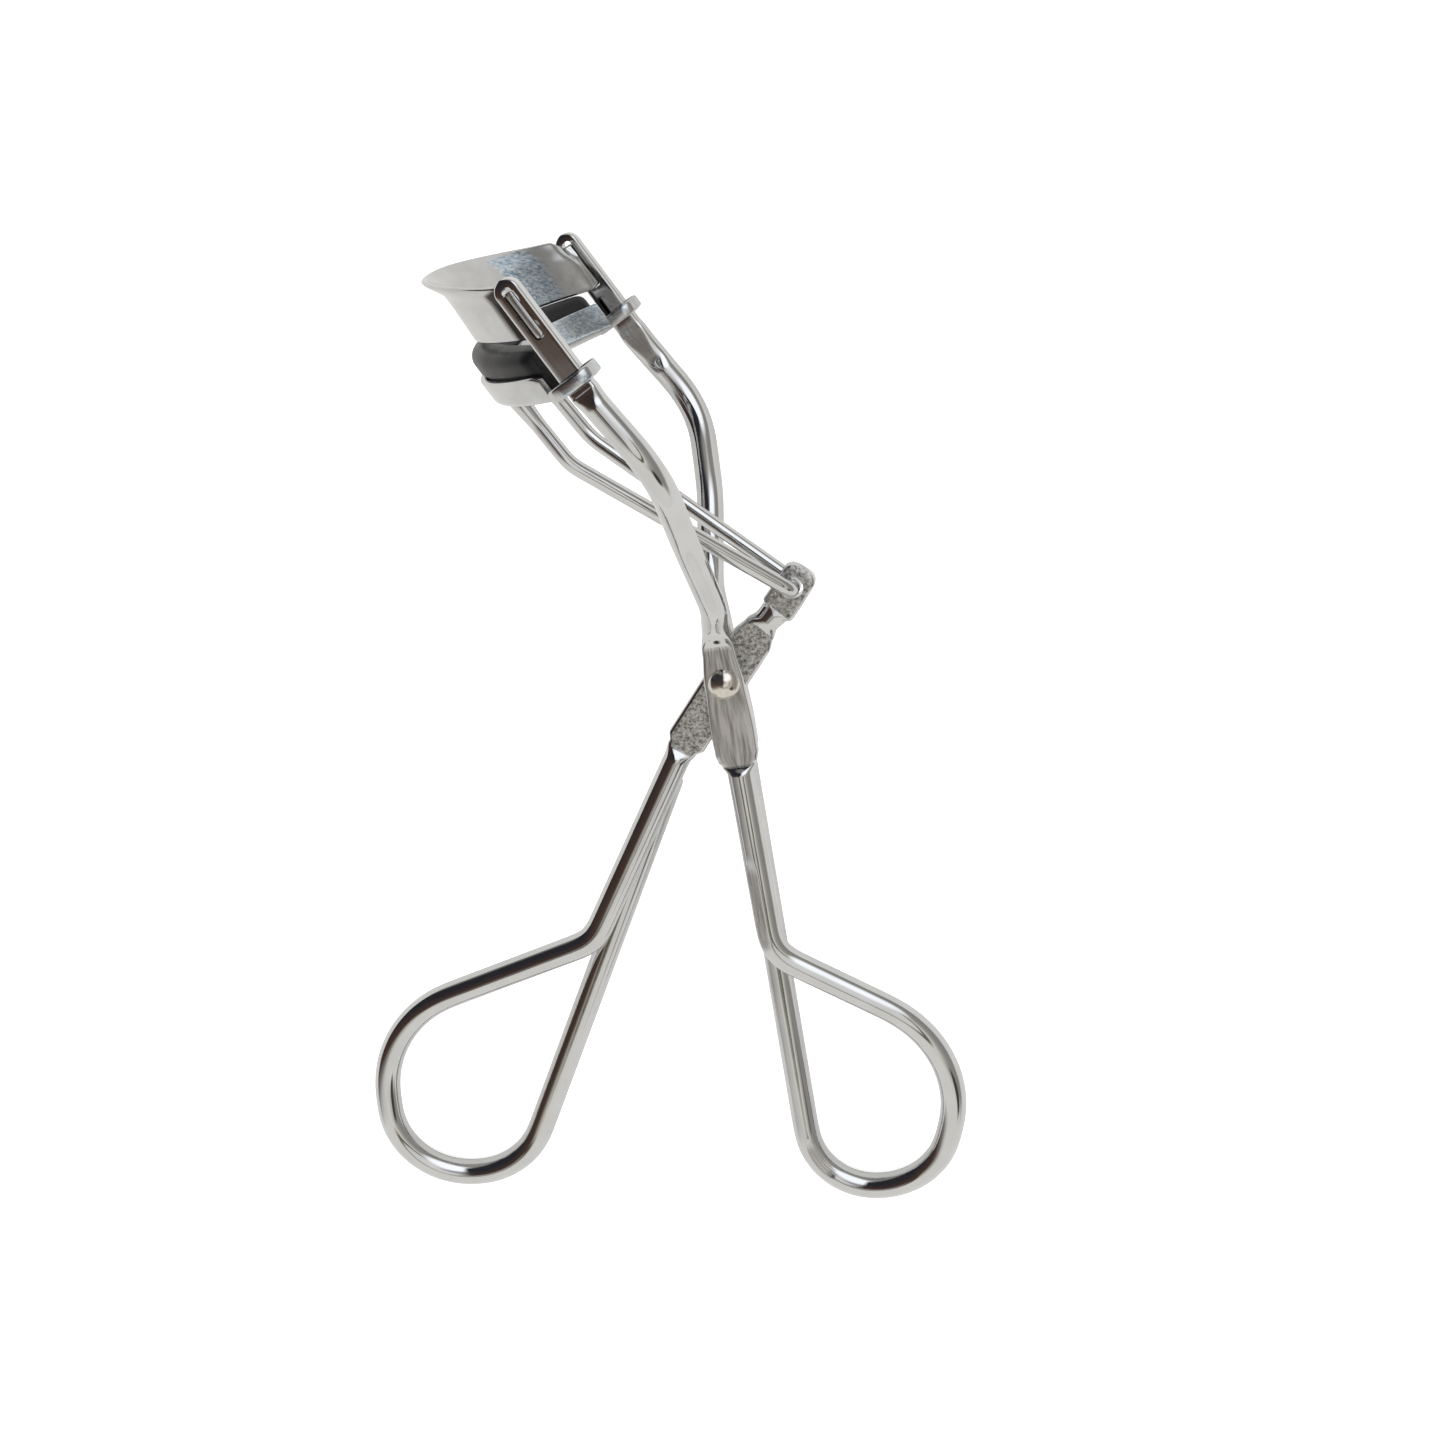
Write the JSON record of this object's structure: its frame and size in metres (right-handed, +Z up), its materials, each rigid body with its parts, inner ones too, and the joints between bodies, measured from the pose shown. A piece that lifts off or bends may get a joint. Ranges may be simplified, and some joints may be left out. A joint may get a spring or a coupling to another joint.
{
  "type": "eyelash curler",
  "caption": "Hand-held eyelash curler of bent, plated wire with finger loops, a lever, curved jaws and a soft replaceable pad.",
  "frame": {"origin": "middle of the base of the whole object's box, on the table it lies on", "axes": "+Y from the finger loops towards the head along the longest side, +Z up from the table, +X to the right of someone looking down with the head away from them"},
  "size_m": [0.065, 0.1046, 0.0387],
  "materials": {
    "plated_wire": "bright nickel plated round wire",
    "pressed_boss": "pressed flat and plated, with faint lengthwise streaks",
    "pressed_lever": "hammered and grained under the plating",
    "rivet_steel": "polished domed rivet",
    "jaw_plate": "satin plated sheet",
    "pad_silicone": "matte dark charcoal silicone"
  },
  "bodies": {
    "frame": {"frame_front_guide": "plated_wire", "frame_rear_guide": "plated_wire", "frame_front_arm": "plated_wire", "frame_rear_arm": "plated_wire", "frame_front_boss": "pressed_boss", "frame_rear_boss": "pressed_boss", "frame_handle": "plated_wire", "pivot_rivet": "rivet_steel", "upper_jaw": "jaw_plate"},
    "lever": {"lever_head": "pressed_lever", "lever_web": "pressed_lever", "lever_handle": "plated_wire"},
    "carriage": {"lower_jaw": "jaw_plate", "lash_pad": "pad_silicone", "link_wire": "plated_wire"}
  },
  "joints": [
    {"name": "lever_pivot", "type": "hinge", "parent": "frame", "child": "lever", "pos_m": [0.00651, 0.00664, 0.01327], "axis": [0, -0.1805, 0.9836], "range_deg": [-28, 2]},
    {"name": "link_pivot", "type": "hinge", "parent": "lever", "child": "carriage", "pos_m": [0.01351, 0.01639, 0.01506], "axis": [0, -0.1805, 0.9836], "range_deg": [-2.2, 29.4]}
  ],
  "couplings": [
    {"joint": "link_pivot", "follows": "lever_pivot", "ratio": -1.045}
  ]
}
